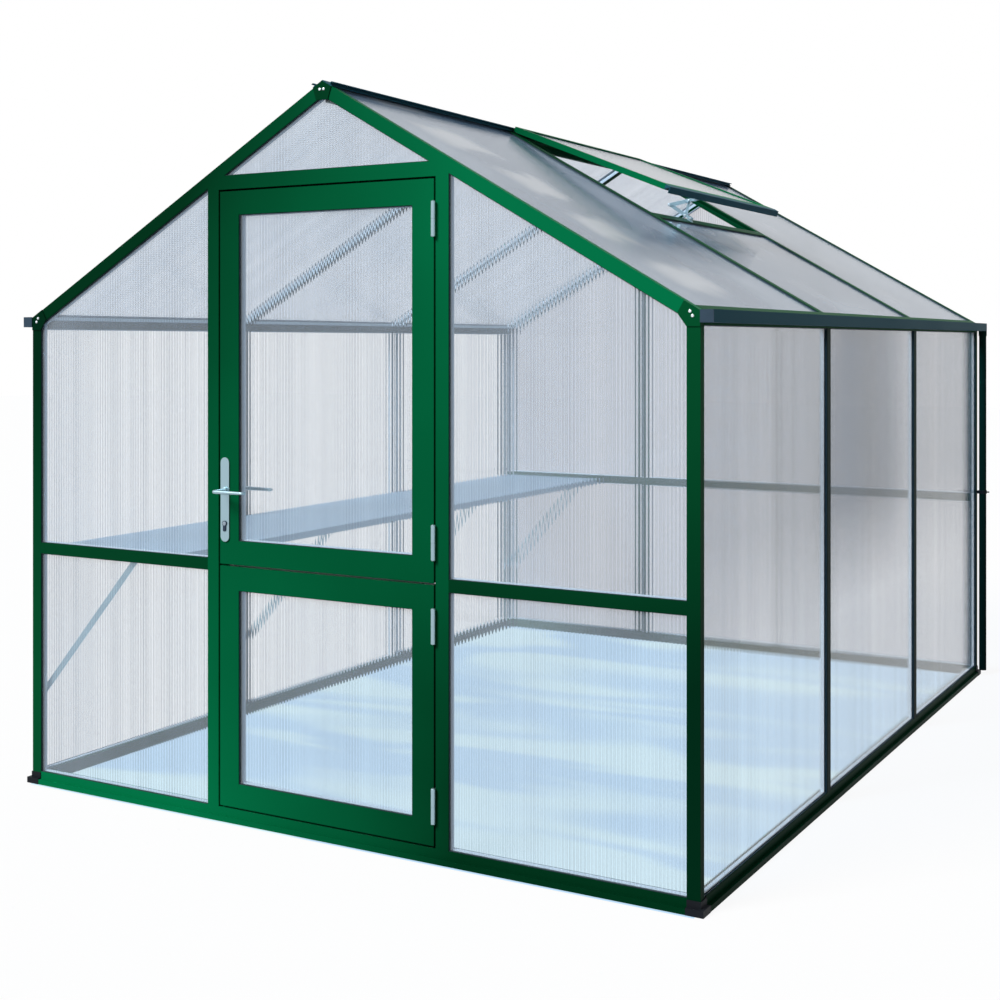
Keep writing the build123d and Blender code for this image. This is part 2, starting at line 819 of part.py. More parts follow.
def shelf():
    y0, y1 = wall_from + shelf_end_play, wall_to - shelf_end_play
    tray = block(shelf_outer_x, shelf_inner_x, y0, y1, shelf_top - shelf_sheet, shelf_top)
    for x0 in (shelf_outer_x, shelf_inner_x - shelf_sheet):
        tray += block(x0, x0 + shelf_sheet, y0, y1, shelf_low, shelf_top)
    for y, way in shelf_rib_ys():
        y_strut = y + way * strut_thickness
        rib = sorted((y_strut, y_strut + way * shelf_sheet))
        tray += block(shelf_outer_x, shelf_inner_x, rib[0], rib[1], shelf_low, shelf_top)
    return tray


def strut(y, way):
    top_z = shelf_top - shelf_sheet - sheet_play
    foot = (-half_width + wall_depth - strut_width / 4, strut_foot_height)
    head = (strut_head_x, top_z - strut_width / 2)
    section = strip(foot, head, strut_width)
    bar = along_y(section, *sorted((y, y + way * strut_thickness)))
    below = block(-half_width, 0, min(y, y + way * strut_thickness), max(y, y + way * strut_thickness),
                  0, top_z)
    return bar & below


save("shelf", [shelf()])
save("shelf_struts", [strut(y, way) for y, way in shelf_rib_ys()])


# Split door: each leaf is a frame of mitred box profile round one sheet

def leaf_frame(z0, z1):
    ring = block(-leaf_half, leaf_half, front_y, front_y + leaf_depth, z0, z1)
    inner = (leaf_half - leaf_member, z0 + leaf_member, z1 - leaf_member)
    ring -= block(-inner[0], inner[0], front_y, front_y + leaf_depth, inner[1], inner[2])
    y0 = front_y + leaf_cover
    ring -= block(-inner[0] - groove_depth, inner[0] + groove_depth, y0, y0 + groove_width,
                  inner[1] - groove_depth, inner[2] + groove_depth)
    return ring


def leaf_sheet(z0, z1):
    half = leaf_half - leaf_member + sheet_reach
    y0 = front_y + leaf_cover + sheet_play
    inset = leaf_member - sheet_reach
    return block(-half, half, y0, y0 + sheet_thickness, z0 + inset, z1 - inset)


def key_section(play):
    # The euro profile: a round barrel with a round-ended fin below it
    fin_half = key_fin_width / 2 + play
    fin_end = key_radius + key_fin_width / 2 - key_total_height
    section = Circle(key_radius + play) + window(-fin_half, fin_half, fin_end, 0)
    return section + Pos(0, fin_end) * Circle(fin_half)


def lock_holes():
    # What the stile and both plates let through: the lever's spindle and the key cylinder
    spindle_hole = Pos(lock_x, spindle_height) * Circle(spindle_radius + spindle_play)
    return spindle_hole + Pos(lock_x, key_height) * key_section(key_play)


upper_frame = leaf_frame(upper_leaf_bottom, leaf_top)
upper_frame -= along_y(lock_holes(), front_y, front_y + leaf_depth)
save("upper_leaf_frame", [upper_frame])
save("lower_leaf_frame", [leaf_frame(leaf_bottom, lower_leaf_top)])
save("upper_leaf_sheet", [leaf_sheet(upper_leaf_bottom, leaf_top)])
save("lower_leaf_sheet", [leaf_sheet(leaf_bottom, lower_leaf_top)])


# Door hinges: a lower half with the pin on the jamb, an upper half on the leaf

hinge_x = jamb_inner_x - door_gap / 2
hinge_y = front_y - hinge_axis_out
hinge_half = (hinge_length - hinge_half_gap) / 2


def knuckle_zs(z0, z1):
    return [z0 + hinge_inset, z1 - hinge_inset - hinge_length]


def jamb_hinge(z):
    low = Pos(hinge_x, hinge_y, z + hinge_half / 2) * Cylinder(hinge_radius, hinge_half)
    pin_length = hinge_length - hinge_plate_thickness
    pin = Pos(hinge_x, hinge_y, z + pin_length / 2) * Cylinder(hinge_pin_radius, pin_length)
    plate = block(jamb_inner_x - hinge_plate_thickness, jamb_inner_x, hinge_y,
                  front_y + hinge_plate_depth, z, z + hinge_half)
    return low + pin + plate


def leaf_hinge(z):
    z_from = z + hinge_length - hinge_half
    high = Pos(hinge_x, hinge_y, z_from + hinge_half / 2) * Cylinder(hinge_radius, hinge_half)
    plate = block(leaf_half, leaf_half + hinge_plate_thickness, hinge_y,
                  front_y + hinge_plate_depth, z_from, z_from + hinge_half)
    bore_radius = hinge_pin_radius + hinge_pin_play
    bore_length = hinge_half - hinge_plate_thickness + hinge_pin_play
    bore = Pos(hinge_x, hinge_y, z_from + bore_length / 2) * Cylinder(bore_radius, bore_length)
    return high + plate - bore


upper_zs = knuckle_zs(upper_leaf_bottom, leaf_top)
lower_zs = knuckle_zs(leaf_bottom, lower_leaf_top)
save("jamb_hinge_halves", [jamb_hinge(z) for z in lower_zs + upper_zs])
save("upper_leaf_hinges", [leaf_hinge(z) for z in upper_zs])
save("lower_leaf_hinges", [leaf_hinge(z) for z in lower_zs])


# Lever set: a long plate each side of the stile, a key cylinder and one lever through both

def lock_plate(y0):
    centre = Pos(lock_x, spindle_height - lock_plate_below_spindle)
    section = centre * SlotOverall(lock_plate_height, lock_plate_width, rotation=90)
    return along_y(section - lock_holes(), y0, y0 + lock_plate_thickness)


lock_out = front_y - lock_plate_thickness
lock_in = front_y + leaf_depth + lock_plate_thickness
save("lock_plates", [lock_plate(lock_out), lock_plate(front_y + leaf_depth)])
key_face = Pos(lock_x, key_height) * key_section(0)
save("key_cylinder", [along_y(key_face, lock_out - key_proud, lock_in + key_proud)])


def lever_arm(y_root, way):
    # Neck out from the door, grip along it, tip turned back; way is -1 outside and 1 inside
    neck = y_root + way * lever_reach
    tip_x = lock_x + lever_length - lever_radius
    corners = [(lock_x, y_root), (lock_x, neck - way * lever_bend), (lock_x + lever_bend, neck),
               (tip_x - lever_bend, neck), (tip_x, neck - way * lever_bend), (tip_x, neck - way * lever_tip)]
    path = Polyline(*[(x, y, spindle_height) for x, y in corners])
    start = Plane(origin=path @ 0, z_dir=path % 0)
    arm = sweep(start * Circle(lever_radius), path=path, transition=Transition.RIGHT)
    collar_y = sorted((y_root + way * collar_play, y_root + way * (collar_play + collar_length)))
    return arm + round_bar(lock_x, spindle_height, *collar_y, collar_radius)


def door_lever():
    spindle = round_bar(lock_x, spindle_height, lock_out, lock_in, spindle_radius)
    return lever_arm(lock_out, -1) + spindle + lever_arm(lock_in, 1)


save("door_lever", [door_lever()])
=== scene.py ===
import math

import bmesh
import bpy
from mathutils import Matrix, Vector


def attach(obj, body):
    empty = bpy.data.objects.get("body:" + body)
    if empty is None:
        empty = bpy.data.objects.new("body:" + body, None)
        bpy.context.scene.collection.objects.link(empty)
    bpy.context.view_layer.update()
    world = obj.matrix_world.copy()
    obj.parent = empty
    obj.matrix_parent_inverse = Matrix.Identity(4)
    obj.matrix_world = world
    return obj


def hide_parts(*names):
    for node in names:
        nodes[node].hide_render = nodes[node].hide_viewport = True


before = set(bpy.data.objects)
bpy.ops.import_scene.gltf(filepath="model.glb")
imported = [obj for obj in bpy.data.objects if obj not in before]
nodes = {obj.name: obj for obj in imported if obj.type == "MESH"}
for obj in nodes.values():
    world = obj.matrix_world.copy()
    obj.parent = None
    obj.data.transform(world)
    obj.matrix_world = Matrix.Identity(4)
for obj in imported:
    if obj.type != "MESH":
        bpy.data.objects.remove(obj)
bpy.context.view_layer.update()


# Camera, ground and light.
# A level view from the front right at eye height, a pale ground that takes the shadow, and a
# soft studio: one large lamp from the front left and a dim bluish room all round.
scene = bpy.context.scene
scene.view_settings.view_transform = "Standard"

eye = (2.662, -5.2215, 1.475)
level, turned_left = math.radians(90.0), math.radians(29.63)
camera_data = bpy.data.cameras.new("camera")
camera_data.sensor_width = 36.0
camera_data.lens = 54.09
camera_data.shift_y = -0.157
camera_data.clip_end = 200.0
camera = bpy.data.objects.new("camera", camera_data)
camera.location = eye
camera.rotation_euler = (level, 0.0, turned_left)
scene.collection.objects.link(camera)
scene.camera = camera


def tint(code):
    # An sRGB hex colour as the linear values that a shader takes
    parts = [int(code[i:i + 2], 16) / 255 for i in (1, 3, 5)]
    linear = [p / 12.92 if p <= 0.04045 else ((p + 0.055) / 1.055) ** 2.4 for p in parts]
    return (*linear, 1.0)


def add(tree, kind, links=(), **settings):
    # One node: its settings by property or socket name, with _1 for the socket of that number,
    # and its links as socket, node, output
    node = tree.nodes.new(kind)
    for key, value in settings.items():
        if hasattr(node, key):
            setattr(node, key, value)
        else:
            name = int(key[1:]) if key[1:].isdigit() else key.replace("_", " ")
            node.inputs[name].default_value = value
    for socket, source, output in links:
        tree.links.new(source.outputs[output], node.inputs[socket])
    return node


def new_material(name):
    material = bpy.data.materials.new(name)
    material.use_nodes = True
    material.node_tree.nodes.clear()
    return material, material.node_tree


def seen_ray(tree):
    # 1 for a ray from the camera, or one that reaches here through glass or off a gloss
    path = add(tree, "ShaderNodeLightPath")
    first = add(tree, "ShaderNodeMath", [(0, path, "Is Camera Ray"), (1, path, "Is Glossy Ray")],
                operation="MAXIMUM")
    return add(tree, "ShaderNodeMath", [(0, first, 0), (1, path, "Is Transmission Ray")],
               operation="MAXIMUM")


world = bpy.data.worlds.new("studio")
scene.world = world
world.use_nodes = True
tree = world.node_tree
tree.nodes.clear()
room = add(tree, "ShaderNodeBackground", Color=tint("#D3E2F0"), Strength=0.27)
white = add(tree, "ShaderNodeBackground", Color=tint("#FFFFFF"), Strength=1.0)
both = add(tree, "ShaderNodeMixShader", [(0, seen_ray(tree), 0), (1, room, 0), (2, white, 0)])
add(tree, "ShaderNodeOutputWorld", [("Surface", both, 0)])

ground_reach = 30.0
ground_mesh = bmesh.new()
bmesh.ops.create_grid(ground_mesh, x_segments=1, y_segments=1, size=ground_reach)
data = bpy.data.meshes.new("ground")
ground_mesh.to_mesh(data)
ground_mesh.free()
ground = bpy.data.objects.new("ground", data)
scene.collection.objects.link(ground)

# Matt white ground: bright to the eye, but it throws only a dim light back up at the object
inside_reach = (1.19, 1.63, 0.0)
glow_share = 0.92
material, tree = new_material("ground")
matt = add(tree, "ShaderNodeBsdfDiffuse", Color=tint("#FBFCFD"))
place = add(tree, "ShaderNodeTexCoord")
flat = add(tree, "ShaderNodeVectorMath", [(0, place, "Object")], operation="ABSOLUTE")
past = add(tree, "ShaderNodeVectorMath", [(0, flat, 0)], operation="SUBTRACT", _1=inside_reach)
sides = add(tree, "ShaderNodeSeparateXYZ", [(0, past, 0)])
out = add(tree, "ShaderNodeMath", [(0, sides, 0), (1, sides, 1)], operation="MAXIMUM")
open_air = add(tree, "ShaderNodeMath", [(0, out, 0)], operation="GREATER_THAN", _1=0.0)
# Indoors the ground is painted with the cool light that comes through the sheets, and with
# the pale ripples of light that their ribs throw, each about 0.5 m deep and 1.5 m wide
ripple_stretch, ripple_scale = (0.5, 1.7, 1.0), 1.3
long_way = add(tree, "ShaderNodeMapping", [("Vector", place, "Object")], Scale=ripple_stretch)
ripple = add(tree, "ShaderNodeTexNoise", [("Vector", long_way, 0)], Scale=ripple_scale, Detail=1.0,
             Distortion=1.2)
bright = add(tree, "ShaderNodeMapRange", [(0, ripple, 0)], interpolation_type="SMOOTHSTEP",
             _1=0.42, _2=0.6)
painted_indoor_light = add(tree, "ShaderNodeMix", [("Factor", bright, 0)], data_type="RGBA")
painted_indoor_light.inputs[6].default_value = tint("#BDDFFB")
painted_indoor_light.inputs[7].default_value = tint("#D8F5FF")
air = add(tree, "ShaderNodeMix", [("Factor", open_air, 0), (6, painted_indoor_light, 2)], data_type="RGBA")
air.inputs[7].default_value = tint("#FFFFFF")
glow = add(tree, "ShaderNodeEmission", [("Color", air, 2)], Strength=1.0)
lit = add(tree, "ShaderNodeMixShader", [(1, matt, 0), (2, glow, 0)], _0=glow_share)
dim = add(tree, "ShaderNodeBsdfDiffuse", Color=tint("#85888C"))
floor_look = add(tree, "ShaderNodeMixShader", [(0, seen_ray(tree), 0), (1, dim, 0), (2, lit, 0)])
add(tree, "ShaderNodeOutputMaterial", [("Surface", floor_look, 0)])
data.materials.append(material)

lamp_way = Vector((0.35, 0.75, -0.72))
lamp_data = bpy.data.lights.new("key", "SUN")
lamp_data.energy = 3.4
lamp_data.angle = math.radians(25.0)
lamp = bpy.data.objects.new("key", lamp_data)
lamp.rotation_euler = lamp_way.to_track_quat("-Z", "Y").to_euler()
scene.collection.objects.link(lamp)


# Base frame.
# Four extruded aluminium rails on the ground, powder coated green, slotted into moulded corner
# shoes of black polypropylene.
def finish_nodes(names, material):
    for name in names:
        slots = nodes[name].data.materials
        slots.clear()
        slots.append(material)


def powder_coat(name, bright_code, deep_code, middle, painted_light_swing):
    # Baked polyester powder on aluminium: a satin green whose tone drifts slowly at random, with
    # painted light and shade across the gable: lighter low on the left and high on the right,
    # darker high on the left and low on the right. Its orange peel is drawn about 2 mm across,
    # coarser than the real one, so that it shows
    gable_middle, cloud_share = 0.95, 0.4
    cloud_scale, peel_scale = 1.7, 450.0
    material, tree = new_material(name)
    place = add(tree, "ShaderNodeTexCoord")
    axes = add(tree, "ShaderNodeSeparateXYZ", [(0, place, "Object")])
    # Painted light and shade: the tone swings with the side times the height above the gable
    # middle
    height = add(tree, "ShaderNodeMath", [(0, axes, 2)], operation="SUBTRACT", _1=gable_middle)
    cross = add(tree, "ShaderNodeMath", [(0, axes, 0), (1, height, 0)], operation="MULTIPLY")
    painted_light_tone = add(tree, "ShaderNodeMath", [(0, cross, 0)], operation="MULTIPLY_ADD", _1=-painted_light_swing,
               _2=middle - cloud_share / 2)
    drift = add(tree, "ShaderNodeTexNoise", [("Vector", place, "Object")], Scale=cloud_scale,
                Detail=2.0)
    share = add(tree, "ShaderNodeMath", [(0, drift, 0), (2, painted_light_tone, 0)], operation="MULTIPLY_ADD",
                use_clamp=True, _1=cloud_share)
    colour = add(tree, "ShaderNodeMix", [("Factor", share, 0)], data_type="RGBA")
    colour.inputs[6].default_value = tint(bright_code)
    colour.inputs[7].default_value = tint(deep_code)
    peel = add(tree, "ShaderNodeTexNoise", [("Vector", place, "Object")], Scale=peel_scale,
               Detail=1.0)
    relief = add(tree, "ShaderNodeBump", [("Height", peel, 0)], Strength=0.12, Distance=0.0006)
    gloss = add(tree, "ShaderNodeMapRange", [(0, drift, 0)], _3=0.37, _4=0.48)
    body = add(tree, "ShaderNodeBsdfPrincipled",
               [("Base Color", colour, 2), ("Normal", relief, 0), ("Roughness", gloss, 0)],
               Specular_IOR_Level=0.012)
    add(tree, "ShaderNodeOutputMaterial", [("Surface", body, 0)])
    return material


green = powder_coat("green_powder_coat", "#027446", "#01321A", middle=0.54, painted_light_swing=1.0)
# Painted shade: a darker copy of the same green for the rear and side rails, posts, bars and
# plates
shaded_green = powder_coat("green_powder_coat_shaded_copy", "#05502C", "#012A17", middle=0.6, painted_light_swing=0.85)
finish_nodes(["base_front"], green)
finish_nodes(["base_rear", "base_sides"], shaded_green)


def moulding(name, code, light_code):
    # Injection-moulded or extruded plastic: matt, with a faint cloud in the colour and a grain
    # that is drawn about 1 mm across, coarser than the real one, so that it shows
    grain_scale, cloud_scale = 900.0, 12.0
    material, tree = new_material(name)
    place = add(tree, "ShaderNodeTexCoord")
    grain = add(tree, "ShaderNodeTexNoise", [("Vector", place, "Object")], Scale=grain_scale,
                Detail=2.0)
    relief = add(tree, "ShaderNodeBump", [("Height", grain, 0)], Strength=0.3, Distance=0.0005)
    cloud = add(tree, "ShaderNodeTexNoise", [("Vector", place, "Object")], Scale=cloud_scale,
                Detail=3.0)
    colour = add(tree, "ShaderNodeMix", [("Factor", cloud, 0)], data_type="RGBA")
    colour.inputs[6].default_value = tint(code)
    colour.inputs[7].default_value = tint(light_code)
    body = add(tree, "ShaderNodeBsdfPrincipled",
               [("Base Color", colour, 2), ("Normal", relief, 0)],
               Roughness=0.55, Specular_IOR_Level=0.1)
    add(tree, "ShaderNodeOutputMaterial", [("Surface", body, 0)])
    return material


# Black polypropylene from the mould: nearly black, with only a dull sheen on the corners
black_polypropylene = moulding("black_polypropylene", "#101216", "#1A1E24")
finish_nodes(["base_corners"], black_polypropylene)


# Wall and roof frame.
# Extruded aluminium posts, rails, rafters and bars, sawn to length and bolted together, in the
# same green; the posts and bars take a darker copy of it, which paints shade into them.
finish_nodes(["front_rafters"], green)
finish_nodes(["corner_posts_front", "corner_posts_rear", "eave_rails", "front_mid_rails",
              "rear_mid_rails", "rear_mullions", "rear_rafters", "ridge_beam", "roof_bars",
              "vent_trimmer"], shaded_green)
# Painted shade: the bars along the walls stand in their own shade and read almost black, so they
# take a near-black copy of the green
painted_shade_green = powder_coat("green_powder_coat_painted_shade", "#0A2E26", "#041B18", middle=0.5, painted_light_swing=0.5)
finish_nodes(["wall_bars"], painted_shade_green)


# Gusset plates.
# Pressed 3 mm plates over the corners of both gables, each held by two zinc-plated pan-head
# screws with a round drive recess.
finish_nodes(["gable_plates"], shaded_green)
plate_face_front, plate_face_rear = -1.6105, 1.6555
eave_screws = [(1.172, 1.5575), (1.179, 1.5456)]
ridge_screws = [(-0.007, 2.228), (0.007, 2.228)]
screw_foot, screw_top, screw_height, screw_round = 0.0047, 0.0040, 0.0026, 0.0012
drive_depth, drive_inset, drive_draft = 0.0011, 0.4, 0.06
weld_reach = 0.000001
crease_angle = math.radians(38.0)


def facing(point, axis):
    # A place whose own Z looks along the axis
    turn = Vector(axis).to_track_quat("Z", "Y").to_matrix().to_4x4()
    turn.translation = point
    return turn


def turned(mesh, base_radius, end_radius, length, soft, place, segments=24, recess=0.0):
    # A round or hexagonal head standing on its place, with a softened rim and a drive recess
    before = set(mesh.verts)
    bmesh.ops.create_cone(mesh, cap_ends=True, segments=segments, radius1=base_radius,
                          radius2=end_radius, depth=length)
    made = [v for v in mesh.verts if v not in before]
    bmesh.ops.translate(mesh, vec=(0, 0, length / 2), verts=made)
    top_ring = {v for v in made if v.co.z > length / 2}
    rim = [e for e in mesh.edges if e.verts[0] in top_ring and e.verts[1] in top_ring]
    bmesh.ops.bevel(mesh, geom=rim, offset=soft, offset_type="OFFSET", segments=3,
                    profile=0.5, affect="EDGES", material=-1)
    made = [v for v in mesh.verts if v not in before]
    if recess:
        faces = {f for v in made for f in v.link_faces}
        top = max(faces, key=lambda f: f.calc_center_median().z)
        bmesh.ops.inset_region(mesh, faces=[top], thickness=end_radius * drive_inset)
        bmesh.ops.inset_region(mesh, faces=[top], thickness=end_radius * drive_draft,
                               depth=-recess)
        made = [v for v in mesh.verts if v not in before]
    bmesh.ops.transform(mesh, matrix=place, space=Matrix.Identity(4), verts=made)


def finish_piece(name, mesh, material, body):
    # Doubles merged and faces turned outwards, then the mesh becomes a piece on its body
    bmesh.ops.remove_doubles(mesh, verts=mesh.verts, dist=weld_reach)
    bmesh.ops.recalc_face_normals(mesh, faces=mesh.faces)
    data = bpy.data.meshes.new(name)
    mesh.to_mesh(data)
    mesh.free()
    data.shade_smooth()
    data.set_sharp_from_angle(angle=crease_angle)
    data.materials.append(material)
    piece = bpy.data.objects.new(name, data)
    scene.collection.objects.link(piece)
    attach(piece, body)
    return piece


def bright_metal(name, code, metallic, low, high, stretch, relief_mm):
    # Metal with a fine grain along its longest axis, drawn coarser than the real one so that it
    # shows; the stretch is the number of grains in a metre along each axis
    material, tree = new_material(name)
    place = add(tree, "ShaderNodeTexCoord")
    drawn = add(tree, "ShaderNodeMapping", [("Vector", place, "Object")], Scale=stretch)
    brush = add(tree, "ShaderNodeTexNoise", [("Vector", drawn, 0)], Scale=1.0, Detail=3.0)
    relief = add(tree, "ShaderNodeBump", [("Height", brush, 0)], Strength=0.15,
                 Distance=relief_mm / 1000)
    rough = add(tree, "ShaderNodeMapRange", [(0, brush, 0)], _3=low, _4=high)
    body = add(tree, "ShaderNodeBsdfPrincipled", [("Normal", relief, 0), ("Roughness", rough, 0)],
               Base_Color=tint(code), Metallic=metallic)
    add(tree, "ShaderNodeOutputMaterial", [("Surface", body, 0)])
    return material


# Zinc plate, tumbled in a barrel: small bright heads with a soft, slightly uneven shine
zinc_plate = bright_metal("zinc_plated_steel", "#E6EEF2", metallic=0.6, low=0.2, high=0.35,
                          stretch=(300.0, 300.0, 300.0), relief_mm=0.2)
mesh = bmesh.new()
for face, way in ((plate_face_front, -1), (plate_face_rear, 1)):
    for x, z in [(side * x, z) for side in (-1, 1) for x, z in eave_screws] + ridge_screws:
        turned(mesh, screw_foot, screw_top, screw_height, screw_round,
               facing((x, face, z), (0, way, 0)), recess=drive_depth)
finish_piece("gusset_screws", mesh, zinc_plate, "frame")


# Glazing sheets.
# Clear twin-wall polycarbonate, extruded: two skins 10 mm apart joined by ribs every 11 mm that
# run up the walls and down the slopes. Each rib bends the view sideways and shows as a fine line.
rib_pitch = 0.011
rib_turns = 2 * math.pi / (20 * rib_pitch)
rib_swell = 0.0001
bay_pitch = 1.0867


def twin_wall(name, bands, seen_code, veil_code, milk, gloss, painted_reflection=None):
    # Two clear skins: the view behind shows through a thin milky veil. The IOR is far below
    # polycarbonate's own 1.58, because a thin flat skin hardly bends what is behind it
    across = bands == "X"
    cloud_stretch = (2.4, 0.1, 0.25) if across else (0.1, 2.4, 0.1)
    waver_stretch = (16.0, 0.1, 0.1) if across else (0.1, 16.0, 0.1)
    milk_drift = 0.04
    material, tree = new_material(name)
    place = add(tree, "ShaderNodeTexCoord")
    ribs = add(tree, "ShaderNodeTexWave", [("Vector", place, "Object")], wave_type="BANDS",
               bands_direction=bands, wave_profile="SIN", Scale=rib_turns, Distortion=0.0)
    relief = add(tree, "ShaderNodeBump", [("Height", ribs, 0)], Strength=1.0, Distance=rib_swell)
    clear = add(tree, "ShaderNodeBsdfGlass", [("Normal", relief, 0)], Color=tint(seen_code),
                Roughness=0.02, IOR=1.12)
    drawn = add(tree, "ShaderNodeMapping", [("Vector", place, "Object")], Scale=cloud_stretch)
    cloud = add(tree, "ShaderNodeTexNoise", [("Vector", drawn, 0)], Scale=1.0, Detail=2.0)
    haze = add(tree, "ShaderNodeMapRange", [(0, cloud, 0)], _1=0.3, _2=0.7,
               _3=milk - milk_drift, _4=milk + milk_drift)
    milky = add(tree, "ShaderNodeBsdfDiffuse", Color=tint(veil_code))
    through = add(tree, "ShaderNodeBsdfTranslucent", Color=tint(veil_code))
    veil = add(tree, "ShaderNodeMixShader", [(1, milky, 0), (2, through, 0)], _0=0.3)
    look = add(tree, "ShaderNodeMixShader", [(0, haze, 0), (1, clear, 0), (2, veil, 0)])
    # The ribs seen edge on: grey lines, some stronger than others because the walls waver
    combed = add(tree, "ShaderNodeMapping", [("Vector", place, "Object")], Scale=waver_stretch)
    waver = add(tree, "ShaderNodeTexNoise", [("Vector", combed, 0)], Scale=1.0, Detail=3.0)
    weight = add(tree, "ShaderNodeMapRange", [(0, waver, 0)], _1=0.35, _2=0.65, _3=0.1, _4=0.3)
    sharp = add(tree, "ShaderNodeMapRange", [(0, ribs, 0)], _1=0.72, _2=0.98)
    line = add(tree, "ShaderNodeMath", [(0, sharp, 0), (1, weight, 0)], operation="MULTIPLY")
    rib = add(tree, "ShaderNodeBsdfDiffuse", Color=tint("#7D8995"))
    look = add(tree, "ShaderNodeMixShader", [(0, line, 0), (1, look, 0), (2, rib, 0)])
    # What the outer face throws back: a painted reflection where there is one, then its own gloss
    side = add(tree, "ShaderNodeNewGeometry")
    outside = add(tree, "ShaderNodeMath", [(1, side, "Backfacing")], operation="SUBTRACT", _0=1.0)
    if painted_reflection:
        share, mirror = painted_reflection(tree, place, side, outside)
        look = add(tree, "ShaderNodeMixShader", [(0, share, 0), (1, look, 0), (2, mirror, 0)])
    facing_on = add(tree, "ShaderNodeFresnel", IOR=gloss)
    edge = add(tree, "ShaderNodeMath", [(0, facing_on, 0), (1, outside, 0)], operation="MULTIPLY")
    shine = add(tree, "ShaderNodeBsdfGlossy", [("Normal", relief, 0)], Roughness=0.1)
    glazed = add(tree, "ShaderNodeMixShader", [(0, edge, 0), (1, look, 0), (2, shine, 0)])
    # Light passes straight through, so that the inside is lit and the shadow stays pale
    path = add(tree, "ShaderNodeLightPath")
    shade = add(tree, "ShaderNodeBsdfTransparent", Color=tint("#EAF5FE"))
    light_ray = add(tree, "ShaderNodeMath",
                    [(0, path, "Is Shadow Ray"), (1, path, "Is Diffuse Ray")],
                    operation="MAXIMUM")
    whole = add(tree, "ShaderNodeMixShader", [(0, light_ray, 0), (1, glazed, 0), (2, shade, 0)])
    add(tree, "ShaderNodeOutputMaterial", [("Surface", whole, 0)])
    return material


def soft_row(tree, place, bands, pitch, peak, low, high, wobble):
    # 1 along stripes a pitch apart, the first at the peak, with soft edges that wander a little
    wave = add(tree, "ShaderNodeTexWave", [("Vector", place, "Object")], bands_direction=bands,
               wave_profile="SIN", Scale=2 * math.pi / (20 * pitch), Distortion=wobble, Detail=1.0,
               Detail_Scale=6.0, Phase_Offset=math.pi - 2 * math.pi * peak / pitch)
    return add(tree, "ShaderNodeMapRange", [(0, wave, 1)], interpolation_type="SMOOTHSTEP",
               _1=low, _2=high)


def painted_sky_reflection(tree, place, side, outside):
    # The skin that faces the sky: a painted reflection of a steel blue sky, with a row of painted
    # soft lamp highlights down the front bay
    patch_pitch, patch_start, front_bay_middle = 0.255, 0.25, -1.28
    front_bay_end, next_bay = -0.6, -0.45
    painted_reflection_share = 0.72
    row = soft_row(tree, place, "Y", bay_pitch, front_bay_middle, 0.78, 1.0, 1.1)
    spots = soft_row(tree, place, "X", patch_pitch, patch_start, 0.05, 0.85, 0.9)
    axes = add(tree, "ShaderNodeSeparateXYZ", [(0, place, "Object")])
    near = add(tree, "ShaderNodeMapRange", [(0, axes, 1)], _1=front_bay_end, _2=next_bay, _3=0.6,
               _4=0.1)
    patch = add(tree, "ShaderNodeMath", [(0, row, 0), (1, spots, 0)], operation="MULTIPLY")
    patch = add(tree, "ShaderNodeMath", [(0, patch, 0), (1, near, 0)], operation="MULTIPLY")
    cloud = add(tree, "ShaderNodeTexNoise", [("Vector", place, "Object")], Scale=1.8, Detail=2.0)
    soft = add(tree, "ShaderNodeMapRange", [(0, cloud, 0)], interpolation_type="SMOOTHSTEP",
               _1=0.36, _2=0.64)
    blue = add(tree, "ShaderNodeMix", [("Factor", soft, 0)], data_type="RGBA")
    blue.inputs[6].default_value = tint("#6A849D")
    blue.inputs[7].default_value = tint("#93A8BD")
    colour = add(tree, "ShaderNodeMix", [("Factor", patch, 0), (6, blue, 2)], data_type="RGBA")
    colour.inputs[7].default_value = tint("#FFFFFF")
    painted_reflection = add(tree, "ShaderNodeBsdfDiffuse", [("Color", colour, 2)])
    up = add(tree, "ShaderNodeSeparateXYZ", [(0, side, "Normal")])
    skyward = add(tree, "ShaderNodeMath", [(0, up, 2)], operation="GREATER_THAN", _1=0.3)
    share = add(tree, "ShaderNodeMath", [(0, skyward, 0), (1, outside, 0)], operation="MULTIPLY")
    share = add(tree, "ShaderNodeMath", [(0, share, 0)], operation="MULTIPLY", _1=painted_reflection_share)
    return share, painted_reflection


def painted_panel_reflection(tree, place, side, outside):
    # A painted reflection on the outer side skins: the blue of the room, and one dark upright
    # panel in it, above the shelf line
    panel_pitch, panel_middle = 2.3, -0.12
    fade_low, fade_high = 0.6, 0.95
    band = soft_row(tree, place, "Y", panel_pitch, panel_middle, 0.5, 0.97, 0.5)
    axes = add(tree, "ShaderNodeSeparateXYZ", [(0, place, "Object")])
    ways = add(tree, "ShaderNodeSeparateXYZ", [(0, side, "Normal")])
    outward = add(tree, "ShaderNodeMath", [(0, axes, 0), (1, ways, 0)], operation="MULTIPLY")
    outer = add(tree, "ShaderNodeMath", [(0, outward, 0)], operation="GREATER_THAN", _1=0.5)
    high = add(tree, "ShaderNodeMapRange", [(0, axes, 2)], _1=fade_low, _2=fade_high)
    dark = add(tree, "ShaderNodeMath", [(0, band, 0)], operation="MULTIPLY_ADD", _1=0.34, _2=0.3)
    share = add(tree, "ShaderNodeMath", [(0, dark, 0), (1, high, 0)], operation="MULTIPLY")
    share = add(tree, "ShaderNodeMath", [(0, share, 0), (1, outer, 0)], operation="MULTIPLY")
    share = add(tree, "ShaderNodeMath", [(0, share, 0), (1, outside, 0)], operation="MULTIPLY")
    painted_reflection = add(tree, "ShaderNodeBsdfTransparent", Color=tint("#4A94BC"))
    return share, painted_reflection
